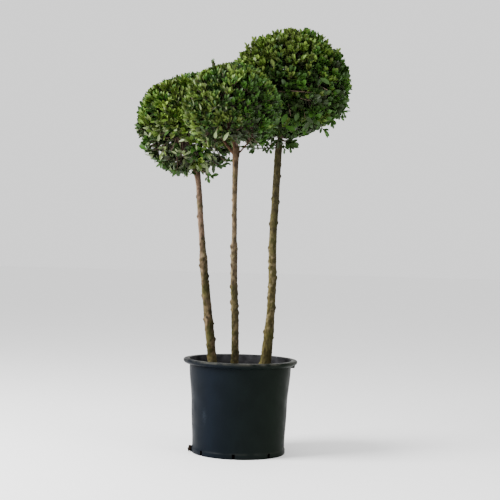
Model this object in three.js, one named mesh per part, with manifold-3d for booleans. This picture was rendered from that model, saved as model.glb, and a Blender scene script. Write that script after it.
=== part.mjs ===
// A clump of clipped patio topiary: three bare stems, each with a ball-shaped evergreen head,
// growing in one large plastic nursery container. Millimetres, +Z up, front towards -Y.
// The origin is the centre of the container's flat underside.

import * as THREE from "three";
import { mergeVertices } from "three/addons/utils/BufferGeometryUtils.js";
import Module from "manifold-3d";

const wasm = await Module();
wasm.setup();

const V = (x, y, z) => new THREE.Vector3(x, y, z);
const TAU = 2 * Math.PI;
const GOLDEN_ANGLE = Math.PI * (3 - Math.sqrt(5));
const UP = V(0, 0, 1);

// ---- Driving dimensions ----

const CLEAR = 0.3; // gap between solids that rest on each other

const POT = {
  height: 490,
  rimRadius: 300,
  topRadius: 267, // outside of the wall, just under the rim
  bellyRadius: 251.5, // outside of the wall, half way up
  ankleRadius: 242.5, // outside of the wall, just over the foot ring
  footRadius: 246,
  footHeight: 26,
  rimDepth: 27, // from the top of the rim to its lower lip
  wall: 5,
  floor: 8,
  sides: 36,
};
// Angles round the pot are in degrees from its front towards +X.
const DRAIN = { count: 8, first: -95, width: 15, height: 19, depth: 20 }; // slots at the foot
const GRIP = { angles: [112, 292], length: 62, width: 14, depth: 8, radius: 283 }; // in the rim
const SOIL_TOP = 425; // the root ball's surface, sunk under the rim

// Each stem: its centre line as [x, y, z] from the soil to the tip, its radius at named
// heights, and its pruning knobs as [height, degrees round the stem from +X, size].
const STEMS = {
  left: {
    line: [
      [-145, 77, SOIL_TOP + CLEAR],
      [-177, 90, 684],
      [-206, 101, 925],
      [-222, 109, 1091],
      [-237, 115, 1235],
      [-252, 123, 1407],
      [-268, 128, 1500],
    ],
    radii: [
      [SOIL_TOP, 29],
      [470, 23.5],
      [690, 23],
      [960, 20.5],
      [1015, 21.5],
      [1060, 16.5],
      [1240, 16],
      [1410, 15],
      [1500, 20],
    ],
    knobs: [
      [1343, 182, 6],
      [1236, 176, 6],
      [1120, 265, 5],
      [972, 205, 9],
      [920, 3, 7],
      [813, 184, 7],
      [700, 250, 6],
      [583, 355, 8],
    ],
  },
  middle: {
    line: [
      [-26, -125, SOIL_TOP + CLEAR],
      [-32, -148, 681],
      [-43, -168, 887],
      [-47, -188, 1095],
      [-51, -208, 1297],
      [-52, -224, 1460],
      [-51, -235, 1583],
    ],
    radii: [
      [SOIL_TOP, 25],
      [470, 19.5],
      [690, 18.5],
      [1080, 16.5],
      [1120, 13],
      [1300, 12.5],
      [1480, 15],
      [1583, 19],
    ],
    knobs: [
      [1314, 185, 5],
      [1237, 178, 5],
      [1078, 190, 8],
      [1030, 168, 7],
      [985, 215, 7],
      [874, 182, 6],
      [793, 176, 9],
      [742, 2, 7],
      [610, 280, 6],
    ],
  },
  right: {
    line: [
      [129, 57, SOIL_TOP + CLEAR],
      [148, 67, 640],
      [158, 80, 887],
      [154, 91, 1102],
      [162, 102, 1317],
      [168, 112, 1500],
      [174, 118, 1640],
    ],
    radii: [
      [SOIL_TOP, 36],
      [475, 29],
      [600, 26.5],
      [750, 21.5],
      [1000, 21],
      [1320, 20],
      [1640, 19],
    ],
    knobs: [
      [1465, 355, 6],
      [1343, 180, 6],
      [1325, 5, 7],
      [1208, 178, 8],
      [1214, 350, 6],
      [1078, 184, 7],
      [1006, 176, 6],
      [920, 2, 7],
      [814, 186, 7],
      [760, 358, 8],
      [632, 179, 8],
    ],
  },
};

// Each clipped head is an ellipsoid: `wide` is its radius across, `tall` its radius up.
// Where two heads would meet, each stops at the plane between them. `twigs` are spread over
// the ellipsoid, `skirt` more grow from the head's own stem under it.
const HEADS = {
  left: { centre: [-314, 130, 1733], wide: 280, tall: 278, twigs: 43, skirt: 7, seed: 101 },
  middle: { centre: [-77, -240, 1780], wide: 250, tall: 227, twigs: 38, skirt: 0, seed: 202 },
  right: { centre: [230, 120, 1966], wide: 320, tall: 293, twigs: 54, skirt: 9, seed: 303 },
};
const HEAD_GAP = 3; // between two heads at the plane that they share

// The middle stem's fork: limbs that rise from its side into the head. Angles in degrees
// from +X, `out` is the tip's distance from the stem's centre line.
const BOUGHS = {
  left: { angle: 188, from: 1538, to: 1640, out: 84, radius: 8 },
  front: { angle: 246, from: 1556, to: 1640, out: 52, radius: 7.5 },
  right: { angle: 344, from: 1536, to: 1640, out: 92, radius: 7 },
  back: { angle: 95, from: 1548, to: 1645, out: 70, radius: 8 },
};

// A long shoot that has grown out of the middle head since it was clipped.
const SHOOT = {
  head: "middle",
  foot: [-168, -206, 1925],
  tip: [-181, -200, 2006],
  radius: 4.5,
  leaves: [0.6, 0.76, 0.9], // shares of its length at which a leaf grows
  lean: 24,
  size: 0.36,
};

// How a head grows. Shares are of its reach, the distance from its centre to its outline.
const CORE = { share: 0.81, lumps: 0.05 }; // its dense heart
const HUB_DROP = 0.35; // the limbs' common foot, under the centre, as a share of `tall`
const LIMB = { count: 9, share: 0.42, radius: 11, jitter: 0.2 }; // inside the core
const TWIG = { share: [0.86, 0.9], radius: 7.5, taper: 0.8, jitter: 0.12 };
const LEAF = { length: 92, width: 58, thickness: 3, fold: 5, widest: 0.56, sunk: 2 };
const SPRAY = {
  leaves: 3,
  inset: 3, // from the twig's end to the first leaf
  step: 8, // from one leaf to the next along the twig
  lean: [48, 78], // degrees from the twig
  sizes: [0.86, 1.14],
  tries: 6, // turns tried for a leaf that would cross another
  slack: 1.05, // how far leaf tips may stand out of the clipped outline
};
// The twigs under a head, on its own stem, hide the place where it leaves the bare stem.
const SKIRT = { first: 8, length: [50, 84], drop: 0.15, slack: 1.3 };

const COLOURS = {
  pot: 0x23282b,
  soil: 0x2c2119,
  bark: 0x7a6a52,
  bough: 0x7d5b49,
  foliage: 0x3c5c1c,
};

// ---- Tools ----

// Repeatable random numbers from 0 to 1.
function seeded(seed) {
  let state = seed >>> 0;
  return () => {
    state = (state + 0x6d2b79f5) >>> 0;
    let mixed = Math.imul(state ^ (state >>> 15), state | 1);
    mixed ^= mixed + Math.imul(mixed ^ (mixed >>> 7), mixed | 61);
    return ((mixed ^ (mixed >>> 14)) >>> 0) / 4294967296;
  };
}

// A closed three.js geometry as a solid that can be joined and cut.
function toSolid(geometry) {
  const bare = (geometry.index ? geometry.toNonIndexed() : geometry).clone();
  bare.deleteAttribute("normal");
  bare.deleteAttribute("uv");
  const merged = mergeVertices(bare, 1e-3);
  const corners = merged.index.array;
  const kept = [];
  for (let i = 0; i < corners.length; i += 3) {
    const [a, b, c] = corners.slice(i, i + 3);
    if (a !== b && b !== c && c !== a) kept.push(a, b, c);
  }
  return new wasm.Manifold(
    new wasm.Mesh({
      numProp: 3,
      vertProperties: new Float32Array(merged.attributes.position.array),
      triVerts: new Uint32Array(kept),
    }),
  );
}

// The largest connected body of a solid: a loose scrap is dropped and a sealed hollow filled.
function largest(solid) {
  return solid.decompose().reduce((a, b) => (b.volume() > a.volume() ? b : a));
}

function toMesh(name, solid, colour, roughness) {
  const { vertProperties, triVerts } = solid.getMesh();
  const geometry = new THREE.BufferGeometry();
  geometry.setAttribute("position", new THREE.BufferAttribute(vertProperties, 3));
  geometry.setIndex(new THREE.BufferAttribute(triVerts, 1));
  const material = new THREE.MeshStandardMaterial({
    color: colour,
    roughness,
    metalness: 0,
    flatShading: true,
  });
  const mesh = new THREE.Mesh(geometry, material);
  mesh.name = name;
  return mesh;
}

// The value at `at` in a list of [place, value] pairs, eased from one pair to the next.
function eased(pairs, at) {
  const last = pairs.length - 1;
  if (at <= pairs[0][0]) return pairs[0][1];
  if (at >= pairs[last][0]) return pairs[last][1];
  const next = pairs.findIndex(([place]) => place > at);
  const [from, a] = pairs[next - 1];
  const [to, b] = pairs[next];
  return THREE.MathUtils.lerp(a, b, THREE.MathUtils.smoothstep(at, from, to));
}

// A limb along `curve`, with its radius given at each share of its length. Level rings lie
// in horizontal planes, so that both ends of a rising limb are flat, level cuts.
function limb(curve, radiusAt, sides, rings, level = false) {
  const shape = new THREE.CylinderGeometry(1, 1, 1, sides, rings);
  const frames = curve.computeFrenetFrames(rings);
  const place = shape.attributes.position;
  for (let i = 0; i < place.count; i++) {
    const ring = Math.round((place.getY(i) + 0.5) * rings);
    const point = curve.getPointAt(ring / rings);
    const radius = radiusAt(ring / rings, point);
    const across = level ? V(1, 0, 0) : frames.normals[ring];
    const along = level ? V(0, 1, 0) : frames.binormals[ring];
    point.addScaledVector(across, place.getZ(i) * radius);
    point.addScaledVector(along, place.getX(i) * radius);
    place.setXYZ(i, point.x, point.y, point.z);
  }
  return toSolid(shape);
}

// `count` unit vectors spread evenly over the sphere on a golden spiral.
function spiral(count, random, jitter) {
  return Array.from({ length: count }, (_, i) => {
    const z = 1 - (2 * i + 1) / count;
    const flat = Math.sqrt(1 - z * z);
    const turn = i * GOLDEN_ANGLE;
    const even = V(flat * Math.cos(turn), flat * Math.sin(turn), z);
    const nudge = V(random() - 0.5, random() - 0.5, random() - 0.5);
    return even.addScaledVector(nudge, jitter).normalize();
  });
}

// ---- Container ----

// The wall's outside radius at a height, from the foot ring to the rim.
const potWall = (z) =>
  eased(
    [
      [POT.footHeight + 8, POT.ankleRadius],
      [POT.height / 2, POT.bellyRadius],
      [POT.height - POT.rimDepth - 5, POT.topRadius],
    ],
    z,
  );

const potInside = (z) => potWall(z) - POT.wall;
const WALL_STEPS = [150, 300, SOIL_TOP]; // heights at which the wall's curve is drawn
const toPoints = (pairs) => pairs.map(([x, y]) => new THREE.Vector2(x, y));

function potProfile() {
  const { height, rimRadius, topRadius, footRadius, footHeight, rimDepth, floor } = POT;
  const lip = height - rimDepth;
  const bead = rimDepth / 2;
  const outside = [
    [0, 0],
    [footRadius - 4, 0],
    [footRadius, 4],
    [footRadius, footHeight],
    [potWall(0), footHeight + 8],
    ...WALL_STEPS.map((z) => [potWall(z), z]),
    [topRadius, lip - 5],
  ];
  const roundRim = [-65, -25, 20, 60, 90].map((degrees) => {
    const turn = THREE.MathUtils.degToRad(degrees);
    const x = rimRadius - bead + bead * Math.cos(turn);
    return [x, lip + bead + bead * Math.sin(turn)];
  });
  const inside = [
    [topRadius + 1, height],
    [potInside(lip), height - 8],
    ...WALL_STEPS.map((z) => [potInside(z), z]).reverse(),
    [potInside(0), floor],
    [0, floor],
  ];
  return toPoints([...outside, ...roundRim, ...inside]);
}

const turned = (points) =>
  toSolid(new THREE.LatheGeometry(points, POT.sides).rotateX(Math.PI / 2));

// A box of `length` along the pot's rim and `width` across it, standing round the height z.
function cutter({ length, width, height, radius, z, degrees }) {
  const box = new THREE.BoxGeometry(width, length, height);
  box.translate(radius, 0, z).rotateZ(THREE.MathUtils.degToRad(degrees - 90));
  return toSolid(box);
}

function pot() {
  const { width: length, depth: width, height } = DRAIN;
  const slots = Array.from({ length: DRAIN.count }, (_, i) => {
    const degrees = DRAIN.first + (i * 360) / DRAIN.count;
    return cutter({ length, width, height: 2 * height, radius: POT.footRadius, z: 0, degrees });
  });
  const grips = GRIP.angles.map((degrees) =>
    cutter({ ...GRIP, height: 2 * GRIP.depth, z: POT.height, degrees }),
  );
  return turned(potProfile()).subtract(wasm.Manifold.union([...slots, ...grips]));
}

// The root ball fills the container up to the soil line.
function soil() {
  const bottom = POT.floor + CLEAR;
  const side = [bottom, ...WALL_STEPS].map((z) => [potInside(z) - 2 * CLEAR, z]);
  return turned(toPoints([[0, bottom], ...side, [0, SOIL_TOP]]));
}

// ---- Stems and boughs ----

const stemCurve = ({ line }) => new THREE.CatmullRomCurve3(line.map((p) => V(...p)));

// A stump where a side shoot was pruned: a short blunt cone on the stem's side.
function knob(curve, radii, [z, degrees, size]) {
  const turn = THREE.MathUtils.degToRad(degrees);
  const out = V(Math.cos(turn), Math.sin(turn), 0.25).normalize();
  const radius = eased(radii, z);
  const stump = new THREE.CylinderGeometry(0.6 * size, 1.3 * size, radius, 5, 1);
  const matrix = new THREE.Matrix4().compose(
    curve.getPointAt(shareAtHeight(curve, z)).addScaledVector(out, 0.5 * radius + 0.6 * size),
    new THREE.Quaternion().setFromUnitVectors(V(0, 1, 0), out),
    V(1, 1, 1),
  );
  return toSolid(stump.applyMatrix4(matrix));
}

// The share of a rising curve's length at which it reaches a height.
function shareAtHeight(curve, z) {
  let [low, high] = [0, 1];
  while (high - low > 1e-4) {
    const half = (low + high) / 2;
    if (curve.getPointAt(half).z < z) low = half;
    else high = half;
  }
  return low;
}

function stem(spec) {
  const curve = stemCurve(spec);
  const tube = limb(curve, (_, point) => eased(spec.radii, point.z), 10, 17, true);
  const knobs = spec.knobs.map((place) => knob(curve, spec.radii, place));
  return largest(wasm.Manifold.union([tube, ...knobs]));
}

// A tapering limb from the middle stem's side up to where it enters the head.
function bough({ angle, from, to, out, radius }) {
  const curve = stemCurve(STEMS.middle);
  const foot = curve.getPointAt(shareAtHeight(curve, from));
  const turn = THREE.MathUtils.degToRad(angle);
  const side = V(Math.cos(turn), Math.sin(turn), 0);
  const elbow = foot.clone().addScaledVector(side, 0.45 * out);
  elbow.z = THREE.MathUtils.lerp(from, to, 0.4);
  const tip = foot.clone().addScaledVector(side, out);
  tip.z = to;
  const path = new THREE.QuadraticBezierCurve3(foot, elbow, tip);
  const whole = limb(path, (share) => radius * (1 - 0.3 * share), 8, 6);
  const swollen = (_, point) => eased(STEMS.middle.radii, point.z) + 2 * CLEAR;
  const neighbours = [
    limb(curve, swollen, 16, 52, true),
    leader("middle", 2 * CLEAR).solid,
    core(spaceOf("middle"), 2 * CLEAR),
  ];
  return largest(whole.subtract(wasm.Manifold.union(neighbours)));
}

// ---- Heads ----

// The planes that a head stops at: {normal, limit}, where a point p is inside while
// normal . p <= limit. Each lies where two neighbouring ellipsoids cross.
function planesOf(key) {
  const own = HEADS[key];
  const centre = V(...own.centre);
  return Object.entries(HEADS)
    .filter(([other]) => other !== key)
    .map(([, other]) => {
      const away = V(...other.centre).sub(centre);
      const share = own.wide / (own.wide + other.wide);
      const normal = away.clone().normalize();
      const limit = normal.dot(centre) + away.length() * share - HEAD_GAP / 2;
      return { normal, limit };
    });
}

// A head's space: how far it reaches from its centre, and whether it holds a point.
function spaceOf(key) {
  const { wide, tall, centre: at } = HEADS[key];
  const centre = V(...at);
  const planes = planesOf(key);
  const reach = (dir) => {
    const round = 1 / Math.hypot(dir.x / wide, dir.y / wide, dir.z / tall);
    const walls = planes.map(({ normal, limit }) => {
      const towards = normal.dot(dir);
      return towards > 1e-6 ? (limit - normal.dot(centre)) / towards : Infinity;
    });
    return Math.min(round, ...walls);
  };
  const holds = (point, slack = 1) => {
    const from = point.clone().sub(centre);
    const inPlanes = planes.every(({ normal, limit }) => normal.dot(point) <= limit);
    return inPlanes && Math.hypot(from.x / wide, from.y / wide, from.z / tall) <= slack;
  };
  return { centre, reach, holds, wide, tall };
}

// The dense heart of a clipped head: a slightly lumpy ball.
function core({ centre, reach }, grow = 0) {
  const ball = new THREE.IcosahedronGeometry(1, 2);
  const place = ball.attributes.position;
  for (let i = 0; i < place.count; i++) {
    const dir = V().fromBufferAttribute(place, i).normalize();
    const lump = Math.sin(7 * dir.x + 2) * Math.sin(6 * dir.y + 1) * Math.cos(5 * dir.z);
    const out = reach(dir) * CORE.share * (1 + CORE.lumps * lump) + grow;
    const point = centre.clone().addScaledVector(dir, out);
    place.setXYZ(i, point.x, point.y, point.z);
  }
  return toSolid(ball);
}

// A head's own stem: it stands on the tip of the bare stem and ends inside the core.
function leader(key, grow = 0) {
  const { centre, tall } = spaceOf(key);
  const { line, radii } = STEMS[key];
  const foot = V(...line.at(-1)).addScaledVector(UP, CLEAR);
  const hub = centre.clone().addScaledVector(UP, -HUB_DROP * tall);
  const girth = 0.8 * eased(radii, foot.z) + grow;
  return { foot, hub, solid: limb(new THREE.LineCurve3(foot, hub), () => girth, 8, 2, true) };
}

// A three-sided twig from one point to another.
function twig(from, to, radius) {
  const along = to.clone().sub(from);
  const rod = new THREE.CylinderGeometry(TWIG.taper * radius, radius, along.length(), 3, 1);
  const matrix = new THREE.Matrix4().compose(
    from.clone().add(to).multiplyScalar(0.5),
    new THREE.Quaternion().setFromUnitVectors(V(0, 1, 0), along.normalize()),
    V(1, 1, 1),
  );
  return toSolid(rod.applyMatrix4(matrix));
}

// A leaf of eight faces: widest past its middle, folded along its midrib, root at `foot`.
function leafShape(foot, dir, faceUp, size) {
  const { length, width, thickness, fold, widest, sunk } = LEAF;
  const shape = new THREE.OctahedronGeometry(1);
  const place = shape.attributes.position;
  for (let i = 0; i < place.count; i++) {
    const [x, y, z] = [place.getX(i), place.getY(i), place.getZ(i)];
    const along = length * (x === 0 ? widest : 0.5 + 0.5 * x);
    const rise = z * 0.5 * thickness + Math.abs(y) * fold;
    place.setXYZ(i, size * along - sunk, size * y * 0.5 * width, size * rise);
  }
  const side = faceUp.clone().cross(dir).normalize();
  const face = dir.clone().cross(side);
  const basis = new THREE.Matrix4().makeBasis(dir, side, face).setPosition(foot);
  return shape.applyMatrix4(basis);
}

// A leaf that leans out from a twig at `turn` round it, its face turned to the light.
function leafOn(root, out, turn, lean, size) {
  const across = out.clone().cross(Math.abs(out.z) < 0.9 ? UP : V(1, 0, 0)).normalize();
  const angle = THREE.MathUtils.degToRad(lean);
  const dir = across.applyAxisAngle(out, turn).multiplyScalar(Math.sin(angle));
  dir.addScaledVector(out, Math.cos(angle)).normalize();
  return leafShape(root, dir, out.clone().addScaledVector(UP, 0.6), size);
}

const cornersOf = (shape) =>
  Array.from({ length: shape.attributes.position.count }, (_, i) =>
    V().fromBufferAttribute(shape.attributes.position, i),
  );

function boxesMeet(a, b) {
  const [p, q] = [a.boundingBox(), b.boundingBox()];
  return [0, 1, 2].every((i) => p.min[i] <= q.max[i] && q.min[i] <= p.max[i]);
}

const crosses = (solid, others) =>
  others.some((other) => boxesMeet(solid, other) && !solid.intersect(other).isEmpty());

// A clipped head as one solid. Its own stem feeds limbs, the limbs feed evenly spread twigs,
// and each twig ends in a spray of leaves. A leaf that would leave the head's space, touch a
// bare limb or cross another leaf is turned or skipped.
function head(key, bareLimbs) {
  const spec = HEADS[key];
  const space = spaceOf(key);
  const random = seeded(spec.seed);
  const between = (range) => THREE.MathUtils.lerp(...range, random());
  const { foot, hub, solid } = leader(key);
  const wood = [core(space), solid];
  const leaves = [];

  const grow = (from, to, radius) => {
    const rod = twig(from, to, radius);
    const free = !crosses(rod, bareLimbs);
    if (free) wood.push(rod);
    return free;
  };
  const dress = (tip, out, slack) => {
    const start = TAU * random();
    for (let i = 0; i < SPRAY.leaves; i++) {
      const root = tip.clone().addScaledVector(out, -SPRAY.inset - i * SPRAY.step);
      for (let tries = 0; tries < SPRAY.tries; tries++) {
        const sway = (0.3 + 0.3 * tries) * (random() - 0.5);
        const turn = start + (i * TAU) / SPRAY.leaves + sway;
        const shape = leafOn(root, out, turn, between(SPRAY.lean), between(SPRAY.sizes));
        if (!cornersOf(shape).every((p) => space.holds(p, slack))) continue;
        const leaf = toSolid(shape);
        if (crosses(leaf, [...leaves, ...bareLimbs])) continue;
        leaves.push(leaf);
        break;
      }
    }
  };

  const reached = (dir, share) =>
    space.centre.clone().addScaledVector(dir, share * space.reach(dir));
  const bases = spiral(LIMB.count, random, LIMB.jitter).map((dir) => reached(dir, LIMB.share));
  for (const base of bases) grow(hub, base, LIMB.radius);
  for (const dir of spiral(spec.twigs, random, TWIG.jitter)) {
    const tip = reached(dir, between(TWIG.share));
    const base = bases.reduce((a, b) => (a.distanceTo(tip) < b.distanceTo(tip) ? a : b));
    if (grow(base, tip, TWIG.radius)) dress(tip, tip.clone().sub(base).normalize(), SPRAY.slack);
  }

  const bare = space.centre.z - CORE.share * space.tall - foot.z;
  for (let i = 0; i < spec.skirt; i++) {
    const turn = i * GOLDEN_ANGLE + random();
    const out = V(Math.cos(turn), Math.sin(turn), -SKIRT.drop).normalize();
    const from = foot.clone().addScaledVector(UP, SKIRT.first + bare * random());
    const tip = from.clone().addScaledVector(out, between(SKIRT.length));
    if (grow(from, tip, TWIG.radius)) dress(tip, out, SKIRT.slack);
  }

  if (key === SHOOT.head) {
    const [from, to] = [V(...SHOOT.foot), V(...SHOOT.tip)];
    const out = to.clone().sub(from).normalize();
    grow(from, to, SHOOT.radius);
    SHOOT.leaves.forEach((share, i) => {
      const root = from.clone().lerp(to, share);
      leaves.push(toSolid(leafOn(root, out, i * GOLDEN_ANGLE, SHOOT.lean, SHOOT.size)));
    });
  }
  return largest(wasm.Manifold.union([...wood, ...leaves]));
}

// ---- Assembly ----

const group = new THREE.Group();
group.add(toMesh("pot", pot(), COLOURS.pot, 0.55));
group.add(toMesh("soil", soil(), COLOURS.soil, 0.95));

const stems = {};
for (const [key, spec] of Object.entries(STEMS)) {
  stems[key] = stem(spec);
  group.add(toMesh(`stem_${key}`, stems[key], COLOURS.bark, 0.85));
}

const boughs = {};
for (const [key, spec] of Object.entries(BOUGHS)) {
  boughs[key] = bough(spec);
  group.add(toMesh(`bough_middle_${key}`, boughs[key], COLOURS.bough, 0.8));
}

const bareLimbs = [...Object.values(stems), ...Object.values(boughs)];
for (const key of Object.keys(HEADS)) {
  group.add(toMesh(`head_${key}`, head(key, bareLimbs), COLOURS.foliage, 0.6));
}

export default group;
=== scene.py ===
"""Looks of the potted topiary: bark, leaves, soil, pot and studio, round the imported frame.

Metres, +Z up, the front towards -Y. Sizes that the frame's source names are repeated here.
"""
import math

import bpy
import numpy as np
from mathutils import Matrix, Vector, noise


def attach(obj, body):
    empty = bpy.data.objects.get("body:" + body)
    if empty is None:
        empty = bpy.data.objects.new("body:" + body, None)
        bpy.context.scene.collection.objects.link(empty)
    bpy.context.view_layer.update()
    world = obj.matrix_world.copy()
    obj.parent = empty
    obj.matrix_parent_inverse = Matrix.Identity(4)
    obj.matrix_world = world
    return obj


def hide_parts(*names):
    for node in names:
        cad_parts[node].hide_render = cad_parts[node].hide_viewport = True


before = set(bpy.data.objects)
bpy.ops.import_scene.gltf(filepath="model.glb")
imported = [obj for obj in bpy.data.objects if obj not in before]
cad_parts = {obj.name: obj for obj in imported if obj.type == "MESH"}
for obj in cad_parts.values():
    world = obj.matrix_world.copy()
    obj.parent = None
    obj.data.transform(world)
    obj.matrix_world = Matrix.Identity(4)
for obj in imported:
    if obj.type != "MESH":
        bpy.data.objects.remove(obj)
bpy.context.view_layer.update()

UP = np.array([0.0, 0.0, 1.0])
TAU = 2 * math.pi
GOLDEN_ANGLE = math.pi * (3 - math.sqrt(5))
BODY = "root"

# ---- Sizes shared with the frame's source ----

POT = dict(
    height=0.490, rim=0.300, top=0.267, belly=0.2515, ankle=0.2425, foot=0.246,
    foot_height=0.026, rim_depth=0.027, wall=0.005, floor=0.008,
)
# Angles round the pot are in degrees from its front towards +X. The drain slots are 8 mm taller
# than the frame's own, as in the photograph.
DRAIN = dict(count=8, first=-95, width=0.015, height=0.027, depth=0.020)
GRIP = dict(angles=(112, 292), length=0.062, width=0.014, depth=0.008, radius=0.283)
SOIL_TOP = 0.425
CLEAR = 0.0003

# Each stem: centre line, (height, radius) pairs, and knobs as (height, degrees, size).
STEMS = {
    "left": dict(
        line=[(-0.145, 0.077, 0.4253), (-0.177, 0.090, 0.684), (-0.206, 0.101, 0.925),
              (-0.222, 0.109, 1.091), (-0.237, 0.115, 1.235), (-0.252, 0.123, 1.407),
              (-0.268, 0.128, 1.500)],
        radii=[(0.425, 0.029), (0.470, 0.0235), (0.690, 0.023), (0.960, 0.0205),
               (1.015, 0.0215), (1.060, 0.0165), (1.240, 0.016), (1.410, 0.015),
               (1.500, 0.020)],
        knobs=[(1.343, 182, 0.006), (1.236, 176, 0.006), (1.120, 265, 0.005),
               (0.972, 205, 0.009), (0.920, 3, 0.007), (0.813, 184, 0.007),
               (0.700, 250, 0.006), (0.583, 355, 0.008)],
    ),
    "middle": dict(
        line=[(-0.026, -0.125, 0.4253), (-0.032, -0.148, 0.681), (-0.043, -0.168, 0.887),
              (-0.047, -0.188, 1.095), (-0.051, -0.208, 1.297), (-0.052, -0.224, 1.460),
              (-0.051, -0.235, 1.583)],
        radii=[(0.425, 0.025), (0.470, 0.0195), (0.690, 0.0185), (1.080, 0.0165),
               (1.120, 0.013), (1.300, 0.0125), (1.480, 0.015), (1.583, 0.019)],
        knobs=[(1.314, 185, 0.005), (1.237, 178, 0.005), (1.078, 190, 0.008),
               (1.030, 168, 0.007), (0.985, 215, 0.007), (0.874, 182, 0.006),
               (0.793, 176, 0.009), (0.742, 2, 0.007), (0.610, 280, 0.006)],
    ),
    "right": dict(
        line=[(0.129, 0.057, 0.4253), (0.148, 0.067, 0.640), (0.158, 0.080, 0.887),
              (0.154, 0.091, 1.102), (0.162, 0.102, 1.317), (0.168, 0.112, 1.500),
              (0.174, 0.118, 1.640)],
        radii=[(0.425, 0.036), (0.475, 0.029), (0.600, 0.0265), (0.750, 0.0215),
               (1.000, 0.021), (1.320, 0.020), (1.640, 0.019)],
        knobs=[(1.465, 355, 0.006), (1.343, 180, 0.006), (1.325, 5, 0.007),
               (1.208, 178, 0.008), (1.214, 350, 0.006), (1.078, 184, 0.007),
               (1.006, 176, 0.006), (0.920, 2, 0.007), (0.814, 186, 0.007),
               (0.760, 358, 0.008), (0.632, 179, 0.008)],
    ),
}
HEADS = {
    "left": dict(centre=(-0.314, 0.130, 1.733), wide=0.280, tall=0.278, seed=101),
    "middle": dict(centre=(-0.077, -0.240, 1.780), wide=0.250, tall=0.227, seed=202),
    "right": dict(centre=(0.230, 0.120, 1.966), wide=0.320, tall=0.293, seed=303),
}
HUB_DROP = 0.35
LIMB = dict(count=9, share=0.42, jitter=0.2)
# The middle stem's fork: degrees from +X, heights of foot and tip, and the tip's reach.
BOUGHS = {
    "left": dict(angle=188, start=1.538, end=1.640, out=0.084, radius=0.008),
    "front": dict(angle=246, start=1.556, end=1.640, out=0.052, radius=0.0075),
    "right": dict(angle=344, start=1.536, end=1.640, out=0.092, radius=0.007),
    "back": dict(angle=95, start=1.548, end=1.645, out=0.070, radius=0.008),
}
SHOOT = dict(foot=(-0.168, -0.206, 1.925), tip=(-0.181, -0.200, 2.022))

# ---- Sizes of the finer growth ----

# Per head: sprays, shoots on the outline and under it, leaf lengths below and above, half
# their width as a share of that, how upright they stand, how light the foliage is, where it
# is lighter as painted light and where greener (as directions), what the underside keeps of
# it below a given direction, hollows as (direction, half angle, share kept), places with
# younger or older growth, and on the undersides painted shade, as (direction, half angle,
# change of tone), and flatter places of the outline as (direction, half angle, depth).
GROWTH = {
    "left": dict(
        sprays=150, shoots=1200, inner=480, leaf=(0.054, 0.046), width=0.190, upright=0.20,
        tone=0.42, painted_light_towards=(0.04, -0.04, 0.16), green=(-0.6, 0.0, 0.1), below=-0.12, keep=0.36,
        pale=0.040, hollows=[((0.05, -0.92, 0.30), 0.45, 0.85), ((-0.25, -0.7, -0.6), 0.5, 0.5)],
        ages_and_painted_shade=[((-0.33, -0.92, 0.20), 0.50, 0.14), ((0.25, -0.5, -0.8), 0.60, -0.08)],
        dents=[((-0.36, 0.0, 0.93), 0.58, 0.115)]),
    "middle": dict(
        sprays=130, shoots=1250, inner=560, leaf=(0.048, 0.040), width=0.175, upright=0.60,
        tone=0.41, painted_light_towards=(-0.02, 0.0, 0.11), green=(1.1, 0.2, 0.1), below=-0.30, keep=0.50,
        pale=0.007, hollows=[((-0.6, -0.78, -0.05), 0.55, 0.75), ((0.5, -0.8, -0.2), 0.4, 0.7)],
        ages_and_painted_shade=[((-0.27, -0.85, 0.40), 0.36, -0.20), ((0.08, -0.5, -0.85), 0.65, -0.34),
              ((-0.88, -0.45, -0.08), 0.34, -0.18), ((0.25, -0.32, 0.90), 0.42, -0.18)],
        dents=[((-0.30, 0.0, 0.95), 0.55, 0.040)]),
    "right": dict(
        sprays=260, shoots=1950, inner=900, leaf=(0.060, 0.033), width=0.240, upright=0.35,
        tone=0.35, painted_light_towards=(-0.06, 0.0, 0.22), green=(0.5, 0.4, -0.2), below=-0.25, keep=0.66,
        pale=0.002, hollows=[((0.20, -0.96, -0.20), 0.75, 0.38), ((0.9, 0.1, -0.3), 0.6, 0.6)],
        ages_and_painted_shade=[((-0.33, -0.94, -0.04), 0.45, -0.22), ((0.75, -0.65, 0.08), 0.32, -0.12)],
        dents=[((0.50, 0.0, -0.87), 0.55, 0.120), ((0.75, 0.0, 0.65), 0.45, 0.035),
               ((-0.26, 0.0, 0.97), 0.50, 0.055), ((0.97, 0.0, 0.25), 0.40, 0.045)]),
}
BRANCH_SHARE = (0.66, 0.76)  # of the reach
SHOOT_SHARE = (0.88, 0.955)
INNER_SHARE = (0.68, 0.86)
GATHER = 0.3  # how far shoots lean towards the middle of their spray
LEAVES_PER_SHOOT = 7
LEAF_SLACK = 1.045
MEETING = 0.014  # how far two heads grow into each other
PLANE_SLACK = 0.012  # how far leaves pass that
# Pale leaves are turned-over undersides and painted glints.
PALE_BELOW = 4  # how many times more leaves turn over at a head's foot than at its middle
FIRST_LEAF = 0.32  # where it stands, as a share of its shoot
# Half the thickness of wood at its foot and at its tip.
GIRTHS = dict(limb=(0.0095, 0.0055), branch=(0.0048, 0.0026), twig=(0.0025, 0.0013),
              stray=(0.0030, 0.0014), stub=(0.0062, 0.0056))

# The air round the middle stem's fork, kept free of leaves: a column over its foot.
FORK_AIR = dict(centre=(-0.052, -0.246), radius=0.103, top=1.640)
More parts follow.
